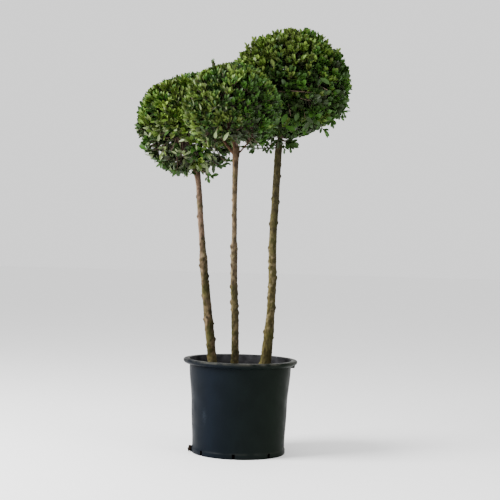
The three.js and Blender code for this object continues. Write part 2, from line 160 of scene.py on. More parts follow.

# Loose shoots that stand out of the clipped outline: foot, tip, number of leaves, their length,
# how light they are, and half their width as a share of their length. Places and lengths are in
# millimetres here. One leaf alone reaches from the foot to the tip, and PALE ones show their
# undersides and stand for painted glints; the darkest, low on the heads, are painted shade. A
# branch of the head leads to each foot.
PER_METRE = 1000
PALE = 2.0
STRAYS = {
    "left": [
        ((-555, 130, 1706), (-578, 130, 1712), 5, 36, 0.50, 0.22),
        ((-533, 110, 1583), (-577, 110, 1614), 1, 54, 0.48, 0.24),
        ((-213, 40, 1520), (-197, 35, 1450), 1, 72, PALE, 0.15),
        ((-453, -100, 1652), (-458, -105, 1613), 1, 40, PALE, 0.18),
        ((-349, -140, 1611), (-319, -150, 1620), 1, 34, PALE, 0.24),
        ((-389, -100, 1565), (-358, -110, 1550), 1, 34, PALE, 0.18),
        ((-262, -125, 1602), (-256, -130, 1571), 1, 32, PALE, 0.18),
        ((-184, 40, 1449), (-143, 35, 1459), 1, 44, 0.24, 0.32),
        ((-213, 60, 1500), (-190, 50, 1462), 3, 36, 0.30, 0.22),
        ((-212, 40, 1478), (-200, 30, 1440), 4, 32, 0.18, 0.26),
        ((-172, 40, 1515), (-171, 35, 1464), 1, 50, 0.06, 0.18),
        ((-180, 60, 1505), (-127, 60, 1514), 6, 38, 0.20, 0.24),
        ((-128, 60, 1523), (-92, 60, 1533), 5, 36, 0.25, 0.24),
        ((-420, 60, 1535), (-452, 50, 1510), 6, 40, 0.30, 0.22),
        ((-360, 40, 1490), (-372, 30, 1468), 5, 36, 0.28, 0.22),
    ],
    "middle": [
        ((-149, -420, 1640), (-153, -425, 1604), 1, 36, PALE, 0.22),
        ((-85, -425, 1639), (-112, -440, 1591), 1, 54, PALE, 0.16),
        ((-270, -390, 1896), (-257, -400, 1866), 1, 32, PALE, 0.12),
        ((-275, -380, 1803), (-262, -390, 1764), 1, 40, PALE, 0.11),
        ((-235, -430, 1772), (-224, -440, 1738), 1, 36, PALE, 0.11),
        ((-202, -360, 1618), (-191, -370, 1601), 1, 26, PALE, 0.26),
        ((60, -80, 1660), (88, -62, 1636), 6, 42, 0.15, 0.22),
        ((108, -90, 1710), (122, -70, 1680), 7, 38, 0.20, 0.22),
        ((28, -110, 1642), (34, -100, 1610), 3, 34, 0.05, 0.24),
        ((0, -130, 1636), (6, -120, 1606), 3, 32, 0.08, 0.24),
        ((54, -100, 1640), (58, -90, 1612), 3, 30, 0.05, 0.24),
    ],
    "right": [
        ((46, 60, 2150), (26, 60, 2180), 6, 30, 0.95, 0.24),
        ((6, 40, 2120), (-10, 40, 2144), 6, 28, 0.90, 0.24),
        ((-4, 20, 2084), (-32, 20, 2096), 7, 30, 0.70, 0.24),
        ((-20, 0, 2044), (-52, 0, 2054), 7, 30, 0.66, 0.24),
        ((495, 100, 1839), (515, 100, 1808), 5, 32, 0.40, 0.24),
        ((474, 100, 1817), (500, 100, 1788), 4, 32, 0.30, 0.24),
        ((483, 100, 1860), (523, 100, 1847), 5, 30, 0.45, 0.24),
        ((86, 40, 1645), (100, 40, 1606), 5, 34, 0.10, 0.24),
        ((116, 45, 1640), (124, 45, 1604), 5, 34, 0.10, 0.24),
        ((194, 60, 1650), (200, 60, 1606), 4, 34, 0.12, 0.24),
        ((226, 60, 1655), (232, 60, 1615), 4, 34, 0.14, 0.24),
        ((322, 80, 2212), (291, 75, 2262), 1, 58, 0.22, 0.34),
        ((500, 100, 1823), (556, 100, 1826), 1, 56, 0.40, 0.07),
        ((462, 120, 2118), (478, 120, 2143), 6, 26, 0.80, 0.24),
        ((500, 120, 2010), (524, 120, 2028), 5, 30, 0.60, 0.24),
        ((193, -60, 1718), (257, -75, 1691), 1, 68, 0.35, 0.20),
        ((209, -100, 1778), (179, -120, 1726), 1, 60, 0.36, 0.24),
        ((265, -110, 1790), (250, -125, 1735), 1, 56, 0.12, 0.22),
        ((300, -100, 1760), (345, -110, 1725), 1, 54, 0.04, 0.22),
        ((330, -60, 1750), (300, -60, 1705), 1, 56, 0.05, 0.22),
        ((385, 90, 1752), (415, 90, 1708), 5, 36, 0.34, 0.22),
        ((404, 100, 1728), (441, 95, 1684), 1, 58, 0.36, 0.17),
        ((250, 60, 1704), (265, 55, 1665), 1, 42, 0.30, 0.25),
        ((309, 60, 1717), (304, 55, 1680), 1, 38, 0.30, 0.25),
        ((470, 100, 1800), (460, 100, 1765), 5, 34, 0.50, 0.24),
        ((215, 70, 1640), (280, 55, 1620), 1, 68, 0.32, 0.25),
        ((195, 85, 1650), (225, 60, 1640), 4, 46, 0.22, 0.24),
        ((156, 70, 1650), (122, 60, 1606), 1, 56, 0.20, 0.22),
        ((174, 80, 1684), (170, 70, 1648), 7, 40, 0.04, 0.22),
        ((190, 85, 1668), (224, 70, 1642), 6, 42, 0.08, 0.22),
        ((160, 85, 1684), (132, 70, 1668), 7, 40, 0.06, 0.22),
        ((205, 100, 1672), (245, 110, 1650), 6, 42, 0.24, 0.24),
        ((440, 100, 1785), (452, 100, 1755), 4, 34, 0.32, 0.24),
        ((368, -160, 1958), (420, -165, 1926), 1, 60, 0.18, 0.22),
    ],
}
# Bare twigs of the right head, by piece, as bent lines in millimetres: the side ones end in a few
# leaves by the middle head, and the others lie open in its hollow front or cross its middle.
BARE_TWIGS = {
    "side_twigs": [
        ((172, 113, 1630), (110, 75, 1630), (40, 55, 1621)),
        ((172, 113, 1618), (110, 75, 1610), (40, 55, 1606)),
    ],
    "bare_twigs": [
        ((121, -148, 1887), (175, -161, 1883), (232, -161, 1870)),
        ((216, -166, 1886), (273, -163, 1883), (335, -148, 1882)),
        ((130, -147, 1874), (150, -151, 1869), (181, -152, 1857)),
        ((208, -140, 1825), (218, -123, 1797), (225, -96, 1764)),
        ((387, -133, 1911), (425, -106, 1898), (460, -67, 1879)),
        ((269, -151, 1851), (316, -136, 1839), (363, -122, 1848)),
        ((150, 120, 2000), (185, 120, 2037), (224, 120, 2077)),
        ((153, 128, 1999), (190, 128, 2034.5), (230, 128, 2070)),
        ((168, 124, 2111), (197, 124, 2078), (222, 124, 2050)),
    ],
}

# ---- Arrays ----


def unit(vectors):
    return vectors / np.maximum(np.linalg.norm(vectors, axis=-1, keepdims=True), 1e-12)


def lerp(pair, share):
    return pair[0] + (pair[1] - pair[0]) * share


def columns(rows):
    """The arrays of several rows, joined column by column."""
    return [np.concatenate(column) for column in zip(*rows)]


def eased(pairs, at):
    """The values at `at` in a list of (place, value) pairs, eased from pair to pair."""
    places, values = np.array(pairs, float).T
    at = np.clip(at, places[0], places[-1])
    i = np.clip(np.searchsorted(places, at, side="right") - 1, 0, len(places) - 2)
    share = (at - places[i]) / (places[i + 1] - places[i])
    share = share * share * (3 - 2 * share)
    return values[i] + (values[i + 1] - values[i]) * share


def nearness(dirs, towards, half_angle):
    """One along a direction, and nothing from the half angle off it."""
    angle = np.arccos(np.clip(dirs @ unit(np.array(towards)), -1, 1))
    return np.clip(1 - angle / half_angle, 0, 1)


def spiral(count, rng, jitter):
    """Unit vectors spread evenly over the sphere on a golden spiral."""
    i = np.arange(count)
    z = 1 - (2 * i + 1) / count
    flat = np.sqrt(1 - z * z)
    even = np.stack([flat * np.cos(i * GOLDEN_ANGLE), flat * np.sin(i * GOLDEN_ANGLE), z], 1)
    return unit(even + jitter * (rng.random((count, 3)) - 0.5))


def across(axes):
    """A unit vector square to each axis."""
    steep = np.abs(axes[..., 2:3]) > 0.9
    return unit(np.cross(axes, np.where(steep, [1.0, 0.0, 0.0], UP)))


def turned(vectors, axes, angles):
    """Vectors square to their axes, turned about them."""
    angles = np.asarray(angles)[..., None]
    return vectors * np.cos(angles) + np.cross(axes, vectors) * np.sin(angles)


def bezier(a, b, c, share):
    """Points and directions at each share of the arcs from a by b to c."""
    a, b, c = a[:, None], b[:, None], c[:, None]
    s = share[..., None]
    points = (1 - s) ** 2 * a + 2 * s * (1 - s) * b + s * s * c
    return points, unit(2 * (1 - s) * (b - a) + 2 * s * (c - b))


def circle(sides):
    """Points round the unit circle, from +X towards +Y."""
    turn = np.arange(sides) * TAU / sides
    return np.stack([np.cos(turn), np.sin(turn)], 1)


def between(t, start, end, a, b):
    """From a to b as t goes from start to end."""
    return ((end - t) * a + (t - start) * b) / (end - start)


def smooth_line(points, per_span=16):
    """A centripetal Catmull-Rom curve through the points, as a dense list."""
    p = np.array(points, float)
    p = np.vstack([2 * p[0] - p[1], p, 2 * p[-1] - p[-2]])
    out = []
    for i in range(1, len(p) - 2):
        knots = [0.0]
        for a, b in zip(p[i - 1:i + 2], p[i:i + 3]):
            knots.append(knots[-1] + np.linalg.norm(b - a) ** 0.5)
        t0, t1, t2, t3 = knots
        for t in np.linspace(t1, t2, per_span, endpoint=False):
            a1 = between(t, t0, t1, p[i - 1], p[i])
            a2 = between(t, t1, t2, p[i], p[i + 1])
            a3 = between(t, t2, t3, p[i + 1], p[i + 2])
            b1 = between(t, t0, t2, a1, a2)
            b2 = between(t, t1, t3, a2, a3)
            out.append(between(t, t1, t2, b1, b2))
    return np.array(out + [p[-2]])


def fine_noise(points, scale, seed, octaves=3):
    """Fractal noise, about -1 to 1, at each point."""
    shift = Vector((seed, -seed, 0.5 * seed))
    return np.array([
        noise.fractal(Vector(p) * scale + shift, 1.0, 2.0, octaves) for p in points.tolist()
    ])


# ---- Meshes ----


def add_object(name, data):
    made = bpy.data.objects.new(name, data)
    bpy.context.scene.collection.objects.link(made)
    return made


def new_mesh(name, verts, faces, materials, face_material=None):
    mesh = bpy.data.meshes.new(name)
    mesh.from_pydata(np.asarray(verts).tolist(), [], faces)
    for material in materials:
        mesh.materials.append(material)
    if face_material is not None:
        mesh.polygons.foreach_set("material_index", np.asarray(face_material, np.int32))
    return mesh


def add_mesh(name, verts, faces, materials, slot, node, face_material=None, crease=None):
    """A smooth-shaded piece on the plant's body that stands for a node of the frame."""
    mesh = new_mesh(name, verts, faces, materials, face_material)
    mesh.polygons.foreach_set("use_smooth", np.ones(len(mesh.polygons), bool))
    if crease is not None:
        mesh.set_sharp_from_angle(angle=math.radians(crease))
    mesh.update()
    piece = add_object(name, mesh)
    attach(piece, BODY)
    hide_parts(node)
    return piece


def joined(meshes):
    """One list of vertices and faces from several."""
    verts, faces, start = [], [], 0
    for points, rings in meshes:
        verts.append(points)
        faces += [[start + i for i in ring] for ring in rings]
        start += len(points)
    return np.vstack(verts), faces


def grid_faces(rows, columns):
    """Quads between rows of points that close round each row."""
    r, c = np.meshgrid(np.arange(rows - 1), np.arange(columns), indexing="ij")
    n = (c + 1) % columns
    quads = [r * columns + c, r * columns + n, (r + 1) * columns + n, (r + 1) * columns + c]
    return np.stack(quads, -1).reshape(-1, 4).tolist()


def closed_faces(rows, columns):
    """The quads of `grid_faces`, with a face over either end."""
    ends = [list(range(columns))[::-1], [(rows - 1) * columns + i for i in range(columns)]]
    return grid_faces(rows, columns) + ends


def tubes(paths, radii, sides):
    """Closed tubes along paths of shape (tubes, points, 3): vertices and faces."""
    count, steps = radii.shape
    along = unit(np.gradient(paths, axis=1))
    side = across(unit(paths[:, -1] - paths[:, 0]))[:, None]
    side = unit(side - along * np.sum(side * along, -1, keepdims=True))
    other = np.cross(along, side)
    x, y = circle(sides).T[..., None]
    ring = side[:, :, None] * x + other[:, :, None] * y
    verts = (paths[:, :, None] + radii[:, :, None, None] * ring).reshape(-1, 3)
    starts = np.arange(count) * steps * sides
    quads = np.array(grid_faces(steps, sides))
    walls = (quads[None] + starts[:, None, None]).reshape(-1, 4).tolist()
    ends = np.arange(sides)
    feet = (starts[:, None] + ends[::-1]).tolist()
    tips = (starts[:, None] + (steps - 1) * sides + ends).tolist()
    return verts, walls + feet + tips


# A leaf: points along its midrib, and along each edge as (share of length, of half width).
MIDRIB = np.array([0.0, 0.27, 0.58, 0.86, 1.0])
EDGE = np.array([(0.27, 0.64), (0.58, 1.0), (0.86, 0.66)])
LEAF_TRIS = np.array([(0, 5, 1), (0, 1, 8), (3, 7, 4), (3, 4, 10)])
LEAF_QUADS = np.array([(1, 5, 6, 2), (2, 6, 7, 3), (1, 2, 9, 8), (2, 3, 10, 9)])


def leaf_mesh(roots, along, facing, lengths, half_width, rng):
    """Folded, arched leaves, one for each root: vertices and faces, triangles first."""
    count = len(roots)
    share = np.concatenate([MIDRIB, EDGE[:, 0], EDGE[:, 0]])
    half = np.concatenate([0 * MIDRIB, -EDGE[:, 1], EDGE[:, 1]])
    side = unit(np.cross(facing, along))
    facing = np.cross(along, side)
    width = half_width * (0.88 + 0.3 * rng.random(count))
    fold = 0.1 + 0.5 * rng.random(count)
    arch = -0.04 + 0.2 * rng.random(count)
    out = lengths[:, None] * share
    aside = (lengths * width)[:, None] * half
    rise = np.abs(aside) * fold[:, None] - (lengths * arch)[:, None] * share ** 2
    verts = (roots[:, None] + out[..., None] * along[:, None]
             + aside[..., None] * side[:, None] + rise[..., None] * facing[:, None])
    starts = np.arange(count)[:, None, None] * len(share)
    tris = (LEAF_TRIS + starts).reshape(-1, 3)
    quads = (LEAF_QUADS + starts).reshape(-1, 4)
    return verts.reshape(-1, 3), tris.tolist() + quads.tolist()


# ---- Materials ----


def rgba(colour):
    """A colour, or a grey that is given as one number."""
    return (*colour, 1.0) if isinstance(colour, tuple) else (colour, colour, colour, 1.0)


def scaled(colour, factor):
    return tuple(factor * c for c in colour)


def feed(tree, socket, value):
    """Sets an input, or links it to the output that is given."""
    if isinstance(value, bpy.types.NodeSocket):
        tree.links.new(value, socket)
    else:
        socket.default_value = rgba(value) if socket.type == "RGBA" else value


def add_node(tree, kind, values=(), **settings):
    """A shader node with its settings, and its inputs set or linked."""
    made = tree.nodes.new("ShaderNode" + kind)
    for key, value in settings.items():
        setattr(made, key, value)
    for key, value in dict(values).items():
        feed(tree, made.inputs[key], value)
    return made


def new_material(name, roughness=0.5, specular=0.5, colour=0.8):
    """A material, its tree and its shader, which holds what is the same all over."""
    material = bpy.data.materials.new(name)
    material.use_nodes = True
    tree = material.node_tree
    shader = tree.nodes["Principled BSDF"]
    for key, value in (("Roughness", roughness), ("Specular IOR Level", specular),
                       ("Base Color", colour)):
        feed(tree, shader.inputs[key], value)
    return material, tree, shader


def own_place(tree):
    """The place on the object, in metres."""
    return add_node(tree, "TexCoord").outputs["Object"]


def component(tree, vector, axis):
    return add_node(tree, "SeparateXYZ", {"Vector": vector}).outputs[axis]


def ranged(tree, value, start, end):
    """Nothing where the value is at the start, and one where it is at the end."""
    return add_node(tree, "MapRange", {
        "Value": value, "From Min": start, "From Max": end}).outputs["Result"]


def noise_value(tree, scale, detail=4.0, stretch=(1.0, 1.0, 1.0)):
    """A noise value over the object, drawn out along its axes."""
    place = own_place(tree)
    if stretch != (1.0, 1.0, 1.0):
        place = add_node(tree, "Mapping", {
            "Scale": stretch, "Vector": place}).outputs["Vector"]
    return add_node(tree, "TexNoise", {
        "Scale": scale, "Detail": detail, "Vector": place}).outputs["Fac"]


def ramp(tree, value, *stops):
    """A colour or grey that follows a value, by (place, colour) stops."""
    made = add_node(tree, "ValToRGB", {"Fac": value})
    points = made.color_ramp.elements
    while len(points) < len(stops):
        points.new(0.5)
    for point, (place, colour) in zip(points, stops):
        point.position = place
        point.color = rgba(colour)
    return made.outputs["Color"]


def mix(tree, share, first, second, blend="MIX"):
    """First to second by share. Each may be a colour or an output."""
    return add_node(tree, "Mix", {0: share, 6: first, 7: second},
                    data_type="RGBA", blend_type=blend).outputs[2]


def product(tree, first, second):
    return add_node(tree, "Math", {0: first, 1: second},
                    operation="MULTIPLY").outputs["Value"]


def spot(tree, centre, size):
    """One at a place on the object, and nothing from `size` off it."""
    scale = [1 / reach for reach in size]
    mapping = add_node(tree, "Mapping", {
        "Location": [-c * k for c, k in zip(centre, scale)], "Scale": scale,
        "Vector": own_place(tree)})
    return add_node(tree, "TexGradient", {"Vector": mapping.outputs["Vector"]},
                    gradient_type="QUADRATIC_SPHERE").outputs["Fac"]


def bump(tree, shader, height, strength, distance):
    made = add_node(tree, "Bump", {
        "Height": height, "Strength": strength, "Distance": distance})
    tree.links.new(made.outputs["Normal"], shader.inputs["Normal"])


MOSS, LICHEN, KNOT = (0.042, 0.050, 0.008), (0.200, 0.160, 0.090), (0.014, 0.011, 0.007)
DUST_AND_RIM_HIGHLIGHT, SCUFF = (0.045, 0.044, 0.036), (0.020, 0.026, 0.034)
YOUNG = (0.105, 0.054, 0.030)
# Leaves from the oldest to the youngest, which are also painted shade to painted light, then
# the two that hue and place give: their colour, roughness and gloss.
LEAF_LOOKS = {
    "old": ((0.025, 0.031, 0.015), 0.40, 0.16),
    "shade": ((0.023, 0.037, 0.013), 0.40, 0.18),
    "deep": ((0.023, 0.053, 0.010), 0.40, 0.18),
    "green": ((0.034, 0.090, 0.011), 0.40, 0.22),
    "fresh": ((0.075, 0.128, 0.019), 0.50, 0.14),
    "young": ((0.127, 0.191, 0.030), 0.50, 0.14),
    "olive": ((0.061, 0.088, 0.016), 0.40, 0.22),
    "pale": ((0.125, 0.160, 0.070), 0.40, 0.22),
}
LEAF_NAMES = list(LEAF_LOOKS)
# The tones at which old turns to shade, shade to deep, and so on.
TONE_STEPS = (-0.06, 0.10, 0.34, 0.56, 0.78)


def mottled_material(name, scale, detail, stops, roughness, specular=0.5, relief=None):
    """A colour that follows a noise, with relief as (strength, depth)."""
    material, tree, shader = new_material(name, roughness, specular)
    value = noise_value(tree, scale, detail)
    feed(tree, shader.inputs["Base Color"], ramp(tree, value, *stops))
    if relief:
        bump(tree, shader, value, *relief)
    return material


def bark_material(name, low, high, change, algae, foot=1.0, lichen=(8, 9),
                  crown=(9, 10, (0, 0, 0))):
    """Bark that goes from its low to its high colour, and that to its crown's, with height.

    At the soil its low colour is taken times `foot`. It is lighter on the -X side and darker
    towards +X, by its normal, as painted light and shade. It is green with algae in patches, dark
    at its knots, and crusted with lichen over a range of heights. Lichen and crown lie over the
    plant's top where they aren't given.
    """
    material, tree, shader = new_material("bark_" + name, 0.85, 0.08)
    place = add_node(tree, "TexCoord").outputs
    z = component(tree, place["Object"], "Z")

    base = mix(tree, ranged(tree, z, *change), low, high)
    base = mix(tree, ranged(tree, z, *crown[:2]), base, crown[2])
    base = mix(tree, ranged(tree, z, 0.43, 0.62), scaled(low, foot), base)
    patches = ramp(tree, noise_value(tree, 24), (0.44, 0.0), (0.60, 1.0))
    pale = mix(tree, patches, scaled(low, 0.45), scaled(high, 1.5))
    mottled = mix(tree, 0.35, base, pale)
    flecks = ramp(tree, noise_value(tree, 110, 3.0), (0.60, 0.0), (0.72, 0.5))
    flecked = mix(tree, flecks, mottled, scaled(low, 2.6))
    streaks = noise_value(tree, 75, 6.0, (1.0, 1.0, 0.45))
    dark = ramp(tree, streaks, (0.38, 0.35), (0.6, 1.0))
    colour = mix(tree, 0.85, flecked, dark, "MULTIPLY")
    moss = ramp(tree, noise_value(tree, 14, 5.0), (0.5, 0.0), (0.68, 1.0))
    colour = mix(tree, product(tree, moss, algae), colour, MOSS)

    crust = ramp(tree, noise_value(tree, 42, 6.0), (0.50, 0.0), (0.66, 1.0))
    band = product(tree, ranged(tree, z, lichen[0], lichen[0] + 0.06),
                   ranged(tree, z, lichen[1] + 0.06, lichen[1]))
    colour = mix(tree, product(tree, product(tree, crust, band), 0.65), colour, LICHEN)
    knots = add_node(tree, "Attribute", attribute_name="knot").outputs["Fac"]
    colour = mix(tree, knots, colour, KNOT)
    # Painted light and shade: lighter where the bark faces -X, darker where it faces +X.
    painted_side_light_and_shade = ramp(tree, ranged(tree, component(tree, place["Normal"], "X"), -0.9, 0.9),
                   (0.0, 1.0), (0.28, 0.55), (0.55, 0.42), (0.90, 0.35))
    feed(tree, shader.inputs["Base Color"], mix(tree, 1.0, colour, painted_side_light_and_shade, "MULTIPLY"))
    bump(tree, shader, streaks, 0.6, 0.002)
    return material


def pot_material():
    """Charcoal plastic, bluer on the -X side as a painted cool sheen, with algae on the +X side
    and a painted highlight along its +X edge, dusting and a painted highlight on its rim, dusting
    on its foot, and one scuff."""
    material, tree, shader = new_material("pot_plastic", specular=0.03)
    place = own_place(tree)
    # Along X: bluer at -X as a painted cool sheen, greener towards +X with algae, and lighter at
    # the +X edge as a painted highlight.
    base = ramp(tree, ranged(tree, component(tree, place, "X"), -0.25, 0.27),
                (0.0, (0.0030, 0.0046, 0.0074)), (0.2, (0.0028, 0.0047, 0.0078)),
                (0.5, (0.0033, 0.0052, 0.0053)), (0.93, (0.0031, 0.0058, 0.0032)),
                (1.0, (0.0095, 0.0125, 0.0085)))
    cloud = ramp(tree, noise_value(tree, 9, 6.0), (0.4, 0.5), (0.65, 1.0))
    colour = mix(tree, 0.4, base, cloud, "MULTIPLY")

    # The band at the rim's top is dusting with a painted highlight along its edge; the faint band
    # over the foot ring is dusting.
    bands = ramp(tree, ranged(tree, component(tree, place, "Z"), 0.0, 0.5),
                 (0.038, 0.0), (0.053, 0.15), (0.070, 0.0), (0.955, 0.0), (0.975, 1.0))
    dust_and_highlight_patches = ramp(tree, noise_value(tree, 14, 8.0), (0.44, 0.0), (0.62, 1.0))
    dust_and_rim_highlight = product(tree, product(tree, bands, dust_and_highlight_patches), 0.8)
    colour = mix(tree, dust_and_rim_highlight, colour, DUST_AND_RIM_HIGHLIGHT)
    streaks = noise_value(tree, 60, 8.0, (1.0, 1.0, 2.5))
    worn = ramp(tree, streaks, (0.40, 0.0), (0.62, 1.0))
    scuff = product(tree, spot(tree, (-0.177, -0.178, 0.203), (0.028, 0.028, 0.070)), worn)
    colour = mix(tree, product(tree, scuff, 0.55), colour, SCUFF)
    feed(tree, shader.inputs["Base Color"], colour)
    rough = ramp(tree, noise_value(tree, 16, 6.0), (0.35, 0.35), (0.7, 0.5))
    feed(tree, shader.inputs["Roughness"], rough)
    bump(tree, shader, noise_value(tree, 420, 3.0), 0.12, 0.0006)
    return material


LEAF_MATERIALS = [new_material("leaf_" + name, roughness, gloss, colour)[0]
                  for name, (colour, roughness, gloss) in LEAF_LOOKS.items()]
DEEP_LEAF = [LEAF_MATERIALS[LEAF_NAMES.index("deep")]]
TWIG_BARK = mottled_material(
    "twig_bark", 120, 4.0, [(0.35, (0.030, 0.016, 0.008)), (0.7, (0.084, 0.048, 0.025))], 0.75)
# Near-black bark for the side twigs under the right head: painted shade.
PAINTED_SHADE_TWIG_BARK = mottled_material(
    "painted_shade_twig_bark", 120, 4.0, [(0.35, (0.010, 0.007, 0.006)), (0.7, (0.030, 0.021, 0.017))],
    0.75)
YOUNG_BARK = bark_material("young", low=YOUNG, high=YOUNG, change=(1, 2), algae=0)
# Each crown tints a stem's top under its head: the left one darker as painted shade, the right
# one lighter as painted light against its head's shadow, the middle one reddish for young bark.
BARK = {
    "left": bark_material(
        "left", low=(0.054, 0.045, 0.012), high=(0.205, 0.134, 0.090), change=(0.98, 1.12),
        algae=0.5, foot=1.05, lichen=(0.93, 1.03), crown=(1.40, 1.48, (0.084, 0.054, 0.033))),
    "middle": bark_material(
        "middle", low=(0.049, 0.041, 0.011), high=(0.150, 0.107, 0.061), change=(0.76, 0.96),
        algae=0.35, foot=0.52, lichen=(0.87, 1.10), crown=(1.44, 1.53, (0.108, 0.060, 0.036))),
    "right": bark_material(
        "right", low=(0.085, 0.068, 0.020), high=(0.074, 0.062, 0.028), change=(0.90, 1.35),
        algae=0.50, foot=0.90, lichen=(0.60, 1.12), crown=(1.40, 1.56, (0.105, 0.088, 0.040))),
}

# ---- Pot and soil ----

GUSSET = dict(length=0.022, width=0.022, height=0.020, radius=0.280, z=0.457, degrees=95)
BOX_FACES = [(0, 1, 3, 2), (4, 6, 7, 5), (0, 4, 5, 1), (2, 3, 7, 6), (0, 2, 6, 4), (1, 5, 7, 3)]
CRUMBS = 900
CLOD = dict(count=150, centre=(-0.252, -0.022, 0.016), spread=(0.0040, 0.0065, 0.0065))
SPINDLE = np.array([0.6, 1.0, 0.5])  # a crumb's girth along its length


def pot_wall(z):
    """The wall's outside radius, from the foot ring to the rim."""
    return eased([
        (POT["foot_height"] + 0.008, POT["ankle"]),
        (POT["height"] / 2, POT["belly"]),
        (POT["height"] - POT["rim_depth"] - 0.005, POT["top"]),
    ], z)


def pot_profile():
    """The pot's section, as (radius, height), from under its foot over the rim to its floor,
    and the number of the point from which it is inside."""
    foot, ankle, top, rim = (POT[key] for key in ("foot", "ankle", "top", "rim"))
    ring, height = POT["foot_height"], POT["height"]
    lip = height - POT["rim_depth"]
    outside = [(foot - 0.005, 0.0), (foot - 0.001, 0.001), (foot, 0.005), (foot, ring - 0.002),
               (foot - 0.001, ring), (ankle, ring + 0.008)]
    outside += [(pot_wall(z), z) for z in np.linspace(0.05, lip - 0.006, 24)]
    # The rolled rim overhangs as a wedge: its edge is high up, its underside slopes in.
    outside += [(top, lip - 0.003), (top + 0.004, lip), (top + 0.016, lip + 0.001),
                (rim - 0.008, lip + 0.005), (rim - 0.002, lip + 0.011), (rim, lip + 0.017),
                (rim - 0.001, height - 0.004), (rim - 0.004, height - 0.001),
                (rim - 0.009, height), (top + 0.005, height), (top + 0.001, height - 0.001),
                (top - 0.003, height - 0.006)]
    inside = [(pot_wall(z) - POT["wall"], z) for z in np.linspace(0.45, 0.02, 12)]
    return np.array(outside + inside), len(outside) - 2


def box(length, width, height, radius, z, degrees):
    """A box at an angle round the pot, `length` along its rim: corners and faces."""
    corners = np.array([(x, y, k) for x in (-1, 1) for y in (-1, 1) for k in (-1, 1)], float)
    corners = corners / 2 * (width, length, height) + (radius, 0, z)
    rotation = np.array(Matrix.Rotation(math.radians(degrees - 90), 3, "Z"))
    return corners @ rotation.T, BOX_FACES


def build_pot(sides=160):
    """The pot's shell with its slots and notches cut, and the gusset under its rim."""
    profile, first_inside = pot_profile()
    verts = [(r * x, r * y, z) for r, z in profile for x, y in circle(sides)]
    faces = closed_faces(len(profile), sides)
    inside = np.zeros(len(faces), int)
    inside[first_inside * sides:(len(profile) - 1) * sides] = 1
    materials = [pot_material(),
                 mottled_material("pot_inside", 30, 6.0, [
                     (0.35, (0.010, 0.010, 0.011)), (0.7, (0.026, 0.026, 0.028))], 0.8, 0.05),
                 # Near-black walls of the drain slots: painted shade in the recesses.
                 new_material("drain_slot_painted_shade", 1.0, 0.0, (0.0015, 0.0010, 0.0008))[0]]
    pot = add_mesh("pot_shell", verts, faces, materials, "pot_plastic", "pot", inside)

    boxes = [box(DRAIN["width"], DRAIN["depth"], 2 * DRAIN["height"], POT["foot"], 0.0,
                 DRAIN["first"] + i * 360 / DRAIN["count"]) for i in range(DRAIN["count"])]
    boxes += [box(GRIP["length"], GRIP["width"], 2 * GRIP["depth"], GRIP["radius"],
                  POT["height"], degrees) for degrees in GRIP["angles"]]
    cut_material = np.repeat([2] * DRAIN["count"] + [0] * len(GRIP["angles"]), len(BOX_FACES))
    cutter = add_object("cutters", new_mesh("cutters", *joined(boxes), materials, cut_material))
    cut = pot.modifiers.new("cut", "BOOLEAN")
    cut.object = cutter
    cut.operation = "DIFFERENCE"
    cut.solver = "EXACT"
    shown = pot.evaluated_get(bpy.context.evaluated_depsgraph_get())
    pot.data = bpy.data.meshes.new_from_object(shown)
    pot.modifiers.clear()
    pot.data.set_sharp_from_angle(angle=math.radians(38))
    bpy.data.objects.remove(cutter)

    verts, faces = box(**GUSSET)
    verts[verts[:, 2] < GUSSET["z"]] *= (0.985, 0.985, 1.0)
    add_mesh("pot_gusset", verts, faces, materials[:1], "pot_plastic", "pot", crease=30)


def soil_edge(z):
    """The root ball's radius, just inside the pot's wall."""
    return float(pot_wall(z)) - POT["wall"] - 2 * CLEAR


def add_crumbs(name, centres, ends, girths, material):
    """Adds crumbs of soil as spindles from their centres to their ends."""
    paths = np.stack([centres, 0.5 * (centres + ends), ends], 1)
    add_mesh(name, *tubes(paths, girths, 5), [material], "potting_soil", "soil")


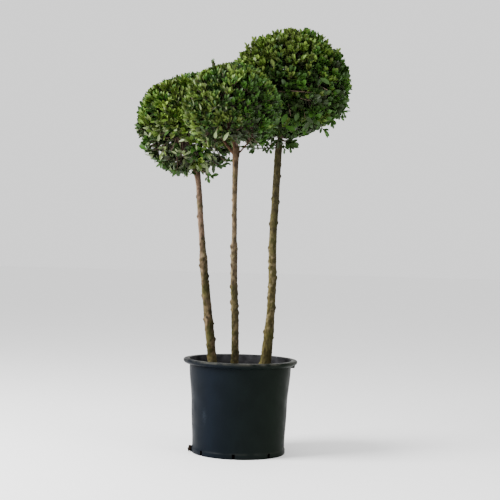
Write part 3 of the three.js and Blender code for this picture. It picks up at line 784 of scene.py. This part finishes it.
def build_soil(sides=120, rings=34):
    """The root ball, with a crumbly top and loose crumbs of bark on it, and the clod."""
    ring = circle(sides)
    edge = soil_edge(SOIL_TOP)
    radii = edge * np.linspace(0.02, 1, rings) ** 0.8
    flat = (radii[:, None, None] * ring).reshape(-1, 2)
    rough = fine_noise(np.column_stack([flat, np.zeros(len(flat))]), 38, 3.0, 4)
    top = np.column_stack([flat, SOIL_TOP - 0.004 + 0.006 * rough])
    wall = [(*(point * soil_edge(z)), z) for z in (0.3, 0.15, 0.04) for point in ring]
    wall += [(*(point * (POT["ankle"] - 0.045)), POT["floor"] + CLEAR) for point in ring]
    faces = [face[::-1] for face in closed_faces(rings + 4, sides)]
    soil = mottled_material("potting_soil", 160, 8.0, [
        (0.35, (0.010, 0.006, 0.004)), (0.6, (0.040, 0.024, 0.014)),
        (0.75, (0.095, 0.062, 0.036))], 0.95, relief=(0.8, 0.003))
    add_mesh("soil_ball", np.vstack([top, wall]), faces, [soil], "potting_soil", "soil")

    rng = np.random.default_rng(5)
    count = CRUMBS
    out = edge * np.sqrt(rng.random(count)) * 0.97
    spin = TAU * rng.random(count)
    centres = np.column_stack([out * np.cos(spin), out * np.sin(spin), np.full(count, SOIL_TOP)])
    centres[:, 2] += -0.004 + 0.004 * rng.random(count)
    sizes = 0.002 + 0.005 * rng.random(count) ** 2
    ends = centres + unit(rng.normal(size=(count, 3)) * (1, 1, 0.3)) * sizes[:, None] * 2
    girths = sizes[:, None] * SPINDLE * (0.5 + 0.5 * rng.random((count, 3)))
    add_crumbs("soil_crumbs", centres, ends, girths, soil)

    # Roots and soil that have pushed out of the drain slot on the -X side.
    count = CLOD["count"]
    centres = rng.normal(size=(count, 3)) * CLOD["spread"] + CLOD["centre"]
    centres[:, 2] = np.clip(centres[:, 2], 0.004, 0.032)
    ends = centres + unit(rng.normal(size=(count, 3))) * 0.006
    ends[:, 2] = np.clip(ends[:, 2], 0.003, 0.034)
    girths = 0.0034 * SPINDLE * (0.5 + 0.7 * rng.random((count, 3)))
    add_crumbs("root_clod", centres, ends, girths,
               new_material("root_dirt", 1.0, 0.0, (0.015, 0.010, 0.007))[0])


# ---- Stems ----


def build_stem(key, step=0.004, sides=36):
    """A stem with its bark's relief: ridges, warts, and the stumps of pruned shoots."""
    spec = STEMS[key]
    curve = smooth_line(spec["line"])
    heights = np.linspace(curve[0, 2], curve[-1, 2], int((curve[-1, 2] - curve[0, 2]) / step))
    centres = np.stack([np.interp(heights, curve[:, 2], curve[:, 0]),
                        np.interp(heights, curve[:, 2], curve[:, 1]), heights], 1)
    radii = eased(spec["radii"], heights)
    turn = np.arange(sides) * TAU / sides
    out = np.column_stack([circle(sides), np.zeros(sides)])
    points = (centres[:, None] + radii[:, None, None] * out).reshape(-1, 3)

    # Ridges drawn out along the stem, finer ones, and warts: all coarser low down.
    seed = HEADS[key]["seed"] * 0.37
    rough = 0.6 + 0.7 * np.clip((1.15 - points[:, 2]) / 0.3, 0, 1)
    squeezed = points * (1, 1, 0.3)
    relief = 0.0016 * rough * fine_noise(squeezed, 55, seed)
    relief += 0.0013 * rough * fine_noise(points, 130, seed + 5)
    warts = fine_noise(points * (1, 1, 0.8), 46, seed + 9, 2)
    relief += 0.0075 * np.clip(warts - 0.32, 0, 1) * rough
    angle = np.tile(turn, len(heights))
    # Each knot swells out round a small dimple, and its dark middle lies a little lower.
    knot = np.zeros(len(points))
    for z, degrees, size in spec["knobs"]:
        radius = float(eased(spec["radii"], z))
        around = np.angle(np.exp(1j * (angle - math.radians(degrees)))) * radius
        rise = points[:, 2] - z - 0.25 * size
        apart = np.hypot(around, rise * np.where(rise > 0, 1.25, 0.8))
        relief += 0.95 * size * np.exp(-(apart / (1.30 * size)) ** 2)
        relief -= 0.25 * size * np.exp(-(apart / (0.45 * size)) ** 2)
        knot += 0.9 * np.exp(-(np.hypot(around, rise + 0.3 * size) / (1.15 * size)) ** 2)
    points += np.tile(out, (len(heights), 1)) * relief[:, None]

    piece = add_mesh(f"bark_{key}", points, closed_faces(len(heights), sides), [BARK[key]],
                     "bark", f"stem_{key}")
    knots = piece.data.attributes.new("knot", "FLOAT", "POINT")
    knots.data.foreach_set("value", np.clip(knot, 0, 1).astype(np.float32))


# ---- Heads ----


class Space:
    """The room that a head's growth keeps to."""

    def __init__(self, key):
        own = HEADS[key]
        self.centre = np.array(own["centre"])
        self.size = np.array([own["wide"], own["wide"], own["tall"]])
        self.dents = GROWTH[key]["dents"]
        self.planes = []
        for other, spec in HEADS.items():
            if other == key:
                continue
            away = np.array(spec["centre"]) - self.centre
            share = own["wide"] / (own["wide"] + spec["wide"])
            self.planes.append((unit(away), np.linalg.norm(away) * share + MEETING))

    def outline(self, dirs):
        """The distance from the centre to the clipped outline, were the head alone."""
        out = 1 / np.linalg.norm(dirs / self.size, axis=-1)
        for towards, half_angle, depth in self.dents:
            share = nearness(dirs, towards, half_angle)
            out = out * (1 - depth * share * share * (3 - 2 * share))
        return out

    def reach(self, dirs):
        """The distance from the centre to the outline, or to where the next head begins."""
        out = self.outline(dirs)
        for normal, limit in self.planes:
            towards = dirs @ normal
            out = np.minimum(out, np.where(towards > 1e-6, limit / np.maximum(towards, 1e-6), 9))
        return out

    def at(self, dirs, share):
        return self.centre + dirs * (self.reach(dirs) * share)[:, None]

    def holds(self, points, slack):
        out = points - self.centre
        inside = np.linalg.norm(out, axis=-1) <= slack * self.outline(unit(out))
        for normal, limit in self.planes:
            inside &= out @ normal <= limit + PLANE_SLACK
        return inside


def nearest(points, bases):
    apart = np.linalg.norm(points[:, None] - bases[None], axis=-1)
    return bases[np.argmin(apart, axis=1)]


def bent(starts, ends, rng, amount, lift):
    """Middle points of bent limbs. A positive lift turns their ends upward."""
    middle = 0.5 * (starts + ends)
    span = np.linalg.norm(ends - starts, axis=1, keepdims=True)
    return middle + amount * span * (rng.random(middle.shape) - 0.5) - lift * span * UP


def limbs(starts, ends, radii, steps, sides, rng, bend, lift=-0.06):
    """Bent tapering limbs: vertices and faces."""
    share = np.tile(np.linspace(0, 1, steps), (len(starts), 1))
    paths, _ = bezier(starts, bent(starts, ends, rng, bend, lift), ends, share)
    girths = lerp(radii, share) * (0.85 + 0.3 * rng.random((len(starts), 1)))
    return tubes(paths, girths, sides)


def leaf_places(axes, lean, turn, outward, upright, rng):
    """Directions and facings of leaves that stand off their shoot's axis."""
    radial = turned(across(axes), axes, turn)
    along = axes * np.cos(lean)[..., None] + radial * np.sin(lean)[..., None] + upright * UP
    facing = axes * np.sin(lean)[..., None] - radial * np.cos(lean)[..., None]
    facing = facing + 0.5 * UP + 0.35 * outward + 0.8 * (rng.random(facing.shape) - 0.5)
    return unit(along), unit(facing)


def dress(starts, ends, tone, hue, outward, lengths, width, upright, rng):
    """Leaves on shoots: roots, directions, facings, lengths, tones, hues and widths."""
    i = np.arange(LEAVES_PER_SHOOT)
    share = (i + 0.6 * rng.random((len(starts), len(i)))) / (len(i) - 0.4)
    share = FIRST_LEAF + (1 - FIRST_LEAF) * np.minimum(share, 1.0) ** 0.75
    roots, axes = bezier(starts, bent(starts, ends, rng, 0.12, 0.14), ends, share)
    turn = TAU * rng.random((len(starts), 1)) + i * GOLDEN_ANGLE * 2.0
    lean = np.radians(60 - 44 * share + 22 * (rng.random(share.shape) - 0.5))
    along, facing = leaf_places(axes, lean, turn, outward[:, None], upright, rng)
    middle = 1 - 1.4 * (share - 0.66) ** 2
    sizes = lengths[:, None] * middle * (0.80 + 0.40 * rng.random(share.shape))
    sizes = sizes * np.where(i == len(i) - 1, 0.74, 1.0)
    tones = tone[:, None] + 0.50 * (share - 0.70) + 0.10 * (rng.random(share.shape) - 0.5)
    hues = hue[:, None] + 0.3 * (rng.random(share.shape) - 0.5)
    return (roots.reshape(-1, 3), along.reshape(-1, 3), facing.reshape(-1, 3), sizes.ravel(),
            tones.ravel(), hues.ravel(), np.full(sizes.size, width))


def strays(key, branch_points, rng):
    """The loose shoots of a head: a twig mesh for each, and their leaves."""
    twigs, leaves = [], []
    for foot, tip, count, length, tone, width in STRAYS[key]:
        foot, tip = (np.array(point)[None] / PER_METRE for point in (foot, tip))
        length /= PER_METRE
        start = nearest(foot, branch_points)
        end = foot if count == 1 else tip
        middle = 0.5 * (start + foot) if count == 1 else foot
        path, _ = bezier(start, middle, end, np.linspace(0, 1, 10)[None])
        twigs.append(tubes(path, np.linspace(*GIRTHS["stray"], 10)[None], 5))
        share = np.linspace(0.45, 1.0, count) if count > 1 else np.array([0.0])
        roots, axes = bezier(foot, 0.5 * (foot + tip), tip, share[None])
        lean = np.radians(np.where(share < 1, 46, 4) * (count > 1))[None]
        turn = (rng.random() * TAU + np.arange(count) * GOLDEN_ANGLE * 2)[None]
        along, _ = leaf_places(axes, lean, turn, 0 * UP, 0.1 * (count > 1), rng)
        loose = 0.8 if count > 1 else 0.5
        facing = unit(np.array([0.1, -1.0, 0.35]) + loose * (rng.random((count, 3)) - 0.5))
        sizes = length * (0.8 + 0.25 * rng.random(count)) if count > 1 else np.array([length])
        leaves.append((roots[0], along[0], facing, sizes, tone + 0.04 * rng.normal(size=count),
                       0.3 + 0 * share, np.full(count, width)))
    return twigs, leaves


def leaf_material_index(tone, hue, pale, rng):
    """Old to young by tone, and painted shade to painted light. Middle tones are green or olive
    by hue, and a few turn pale, as undersides and painted glints.
    """
    index = np.searchsorted(TONE_STEPS, tone)
    olive = (hue < 0) & (index == LEAF_NAMES.index("green"))
    index = np.where(olive, LEAF_NAMES.index("olive"), index)
    undersides_and_glints = (hue < 0.3) & (rng.random(len(tone)) < 2 * pale)
    return np.where(undersides_and_glints | (tone > 0.7 * PALE), LEAF_NAMES.index("pale"), index)


def add_leaves(key, space, grown, loose, rng):
    """Adds a head's leaves: those that keep to its outline, and all the loose ones."""
    grown = columns(grown)
    tips = grown[0] + grown[1] * grown[3][:, None]
    kept = space.holds(tips, LEAF_SLACK) & space.holds(grown[0], LEAF_SLACK)
    kept &= ~in_fork(key, tips) & ~in_fork(key, grown[0])
    grown = [column[kept] for column in grown]
    roots, along, facing, lengths, tone, hue, widths = columns([grown, *loose])
    verts, faces = leaf_mesh(roots, along, facing, lengths, widths, rng)
    low = np.clip((space.centre[2] - roots[:, 2]) / space.size[2], 0, 1)
    index = leaf_material_index(tone, hue, GROWTH[key]["pale"] * (1 + PALE_BELOW * low), rng)
    face_material = np.concatenate([np.repeat(index, len(LEAF_TRIS)),
                                    np.repeat(index, len(LEAF_QUADS))])
    add_mesh(f"leaves_{key}", verts, faces, LEAF_MATERIALS, "foliage", f"head_{key}",
             face_material)


def in_fork(key, points):
    """Whether points lie in the air round the middle stem's fork."""
    if key != "middle":
        return np.zeros(len(points), bool)
    apart = np.linalg.norm(points[:, :2] - FORK_AIR["centre"], axis=1)
    return (apart < FORK_AIR["radius"]) & (points[:, 2] < FORK_AIR["top"])


def thinning(dirs, growth, outer, rng, seed):
    """Which shoots stay: fewer on the underside, and on the outline over the hollows."""
    low = np.clip((growth["below"] - dirs[:, 2]) / 0.3, 0, 1)
    patches = np.clip(0.5 + 1.3 * fine_noise(dirs, 6.0, seed, 2), 0, 1)
    keep = 1 - low * (1 - growth["keep"]) * (0.4 + 1.2 * patches)
    for towards, half_angle, kept in growth["hollows"] if outer else []:
        inside = np.minimum(2.2 * nearness(dirs, towards, half_angle), 1)
        keep *= 1 - inside * (1 - kept) * (0.4 + 1.2 * patches)
    return rng.random(len(dirs)) < keep


def build_head(key):
    spec, growth = HEADS[key], GROWTH[key]
    rng = np.random.default_rng(spec["seed"])
    space = Space(key)
    seed = spec["seed"] * 0.11
    foot = np.array(STEMS[key]["line"][-1]) + UP * CLEAR
    hub = space.centre - UP * HUB_DROP * spec["tall"]
    girth = 0.8 * STEMS[key]["radii"][-1][1]

    dirs = spiral(LIMB["count"], rng, LIMB["jitter"])
    bases = space.at(dirs, LIMB["share"])
    thick = limbs(np.tile(hub, (len(bases), 1)), bases, GIRTHS["limb"], 8, 8, rng, 0.25)
    spray_dirs = spiral(growth["sprays"], rng, 0.2)
    spray_tips = space.at(spray_dirs, lerp(BRANCH_SHARE, rng.random(len(spray_dirs))))
    spray_reach = 1 + 0.030 * rng.normal(size=len(spray_dirs))
    spray_tone = 0.11 * rng.normal(size=len(spray_dirs))
    spray_hue = 0.5 * rng.normal(size=len(spray_dirs))
    open_air = in_fork(key, spray_tips)
    thin = limbs(nearest(spray_tips, bases)[~open_air], spray_tips[~open_air],
                 GIRTHS["branch"], 6, 5, rng, 0.3)

    grown, twigs = [], []
    for count, shares, outer in ((growth["shoots"], SHOOT_SHARE, True),
                                 (growth["inner"], INNER_SHARE, False)):
        outs = spiral(count, rng, 0.2)
        outs = outs[thinning(outs, growth, outer, rng, seed)]
        spray = np.argmax(outs @ spray_dirs.T, axis=1)
        outs = unit(outs + GATHER * spray_dirs[spray])
        span = lerp(shares, rng.random(len(outs))) * spray_reach[spray]
        span *= 1 + 0.03 * fine_noise(outs, 2.2, seed, 2)
        span += np.where(rng.random(len(outs)) < 0.05, 0.05 * rng.random(len(outs)), 0)
        ends, starts = space.at(outs, span), spray_tips[spray]
        clear = ~in_fork(key, ends) & ~in_fork(key, starts)
        outs, spray, ends, starts = outs[clear], spray[clear], ends[clear], starts[clear]
        twigs.append((starts, ends))
        patches = fine_noise(outs, 2.6, seed, 2)
        # Leaves are lighter towards the lit side: painted light.
        tone = growth["tone"] + outs @ growth["painted_light_towards"] + 0.24 * patches + spray_tone[spray]
        # Shoots under the outline are darker: older leaves, and painted shade.
        tone += 0.10 * rng.normal(size=len(outs)) - (0 if outer else 0.24)
        # Younger and older growth, and painted shade on the heads' undersides.
        for towards, half_angle, change in growth["ages_and_painted_shade"]:
            tone += change * np.minimum(1.8 * nearness(outs, towards, half_angle), 1)
        hue = outs @ growth["green"] + spray_hue[spray]
        lengths = lerp(growth["leaf"], np.clip(0.5 + 0.75 * outs[:, 2], 0, 1))
        grown.append(dress(starts, ends, tone, hue, outs, lengths, growth["width"],
                           growth["upright"], rng))

    starts, ends = columns(twigs)
    trunk_points = lerp((foot, hub), np.linspace(0, 1, 12)[:, None])
    branch_points = np.vstack([spray_tips[~open_air], trunk_points])
    loose_twigs, loose_leaves = strays(key, branch_points, rng)
    twigs = limbs(starts, ends, GIRTHS["twig"], 4, 3, rng, 0.12, 0.14)
    fine = joined([twigs] + loose_twigs)
    trunk = limbs(foot[None], hub[None], (girth, 0.75 * girth), 6, 12, rng, 0.05)
    for name, (verts, faces) in (("trunk", trunk), ("boughs", thick), ("branches", thin),
                                 ("twigs", fine)):
        add_mesh(f"{name}_{key}", verts, faces, [TWIG_BARK], "young_bark", f"head_{key}")
    add_leaves(key, space, grown, loose_leaves, rng)
    return bases


def build_fork(bases):
    """The middle stem's boughs, and the branches by which they grow on into its head."""
    rng = np.random.default_rng(7)
    line = smooth_line(STEMS["middle"]["line"])
    for side, spec in BOUGHS.items():
        foot = np.array([np.interp(spec["start"], line[:, 2], line[:, axis])
                         for axis in range(3)])
        turn = math.radians(spec["angle"])
        away = np.array([math.cos(turn), math.sin(turn), 0.0]) * spec["out"]
        elbow = foot + 0.45 * away + 0.4 * (spec["end"] - spec["start"]) * UP
        tip = foot + away
        tip[2] = spec["end"]
        share = np.linspace(0, 1, 26)[None]
        path, _ = bezier(foot[None], elbow[None], tip[None], share)
        flare = 0.35 * np.exp(-share / 0.08)
        girth = spec["radius"] * (0.65 if side == "right" else 1.15)
        radii = girth * (1 - 0.3 * share + flare)
        verts, faces = tubes(path, radii, 16)
        centre = np.repeat(path[0], 16, axis=0)
        outward = unit(verts - centre)
        verts = verts + outward * 0.0009 * fine_noise(verts, 110, 2.0)[:, None]
        add_mesh(f"fork_{side}", verts, faces, [YOUNG_BARK], "young_bark",
                 f"bough_middle_{side}")
        goals = bases[np.argsort(np.linalg.norm(bases - tip, axis=1))[:3]]
        more = limbs(np.tile(tip, (len(goals), 1)), goals, (0.7 * spec["radius"], 0.004), 8, 8,
                     rng, 0.2)
        add_mesh(f"fork_{side}_branches", *more, [YOUNG_BARK], "young_bark",
                 f"bough_middle_{side}")


def build_odd_twigs():
    """The stub that stands over the middle head, and the right head's bare twigs."""
    rng = np.random.default_rng(11)
    foot, tip = (np.array(SHOOT[end])[None] for end in ("foot", "tip"))
    verts, faces = limbs(foot, tip, GIRTHS["stub"], 8, 8, rng, 0.1)
    add_mesh("stub_twig", verts, faces, [TWIG_BARK], "young_bark", "head_middle")
    share = np.linspace(0.1, 0.92, 14)
    roots, axes = bezier(foot, 0.5 * (foot + tip), tip, share[None])
    lean = np.radians(15 + 0 * share)[None]
    turn = (np.arange(len(share)) * GOLDEN_ANGLE * 2)[None]
    along, facing = leaf_places(axes, lean, turn, 0 * UP, 0.0, rng)
    sizes = np.linspace(0.030, 0.023, len(share))
    verts, faces = leaf_mesh(roots[0], along[0], facing[0], sizes, 0.44, rng)
    add_mesh("stub_leaves", verts, faces, DEEP_LEAF, "foliage", "head_middle")

    for name, girth, bark in (("side_twigs", 0.0050, PAINTED_SHADE_TWIG_BARK),
                              ("bare_twigs", 0.0028, TWIG_BARK)):
        bends = np.array(BARE_TWIGS[name], float).transpose(1, 0, 2) / PER_METRE
        paths, _ = bezier(*bends, np.tile(np.linspace(0, 1, 12), (len(BARE_TWIGS[name]), 1)))
        girths = np.tile(np.linspace(girth, 0.7 * girth, 12), (len(paths), 1))
        add_mesh(name, *tubes(paths, girths, 6), [bark], "young_bark", "head_right")
    ends = np.array(BARE_TWIGS["side_twigs"])[:, -1] / PER_METRE
    roots = np.repeat(ends, 4, axis=0) + 0.006 * (rng.random((8, 3)) - 0.5)
    along = unit(np.column_stack([-1.2 * rng.random(8), rng.random(8) - 0.8,
                                  rng.random(8) * 1.2 - 0.9]))
    facing = unit(rng.random((8, 3)) - (0.5, 1.2, 0.0))
    verts, faces = leaf_mesh(roots, along, facing, 0.030 + 0.018 * rng.random(8), 0.22, rng)
    add_mesh("bare_twig_leaves", verts, faces, DEEP_LEAF, "foliage", "head_right")


# ---- Studio ----

FLOOR_REACH = 60.0
SKY = 1.32
# Lamps: place, size and power. They are aimed at the middle of the plant.
LAMPS = {"key": ((-4.6, -1.9, 3.6), 2.8, 1050.0), "fill": ((4.4, -3.2, 2.0), 2.6, 170.0)}
AIM = Vector((0, 0, 1.4))
# The photograph's view: the camera's place, its focal length on a frame 36 mm wide, and its
# turns in degrees.
CAMERA = dict(place=(0.034, -6.013, 1.038), lens=82.15, pitch=0.25, roll=1.6)


def build_studio():
    square = [(-1, -1), (1, -1), (1, 1), (-1, 1)]
    corners = [(FLOOR_REACH * x, FLOOR_REACH * y, 0) for x, y in square]
    material = new_material("floor", 0.7, colour=0.95)[0]
    floor = add_object("floor", new_mesh("floor", corners, [(0, 1, 2, 3)], [material]))

    world = bpy.data.worlds.new("studio")
    world.use_nodes = True
    sky = world.node_tree.nodes["Background"]
    sky.inputs["Color"].default_value = (1.0, 1.0, 1.0, 1)
    sky.inputs["Strength"].default_value = SKY
    bpy.context.scene.world = world

    for name, (place, size, power) in LAMPS.items():
        light = bpy.data.lights.new(name, "AREA")
        light.size = size
        light.energy = power
        turn = (AIM - Vector(place)).to_track_quat("-Z", "Y").to_matrix().to_4x4()
        add_object(name, light).matrix_world = Matrix.Translation(place) @ turn


def build_camera():
    data = bpy.data.cameras.new("camera")
    data.sensor_width = 36
    data.lens = CAMERA["lens"]
    camera = add_object("camera", data)
    camera.matrix_world = (
        Matrix.Translation(CAMERA["place"])
        @ Matrix.Rotation(math.radians(90 + CAMERA["pitch"]), 4, "X")
        @ Matrix.Rotation(math.radians(CAMERA["roll"]), 4, "Z")
    )
    bpy.context.scene.camera = camera


build_camera()
build_studio()
build_pot()
build_soil()
for key in STEMS:
    build_stem(key)
for key in HEADS:
    limb_ends = build_head(key)
    if key == "middle":
        build_fork(limb_ends)
build_odd_twigs()
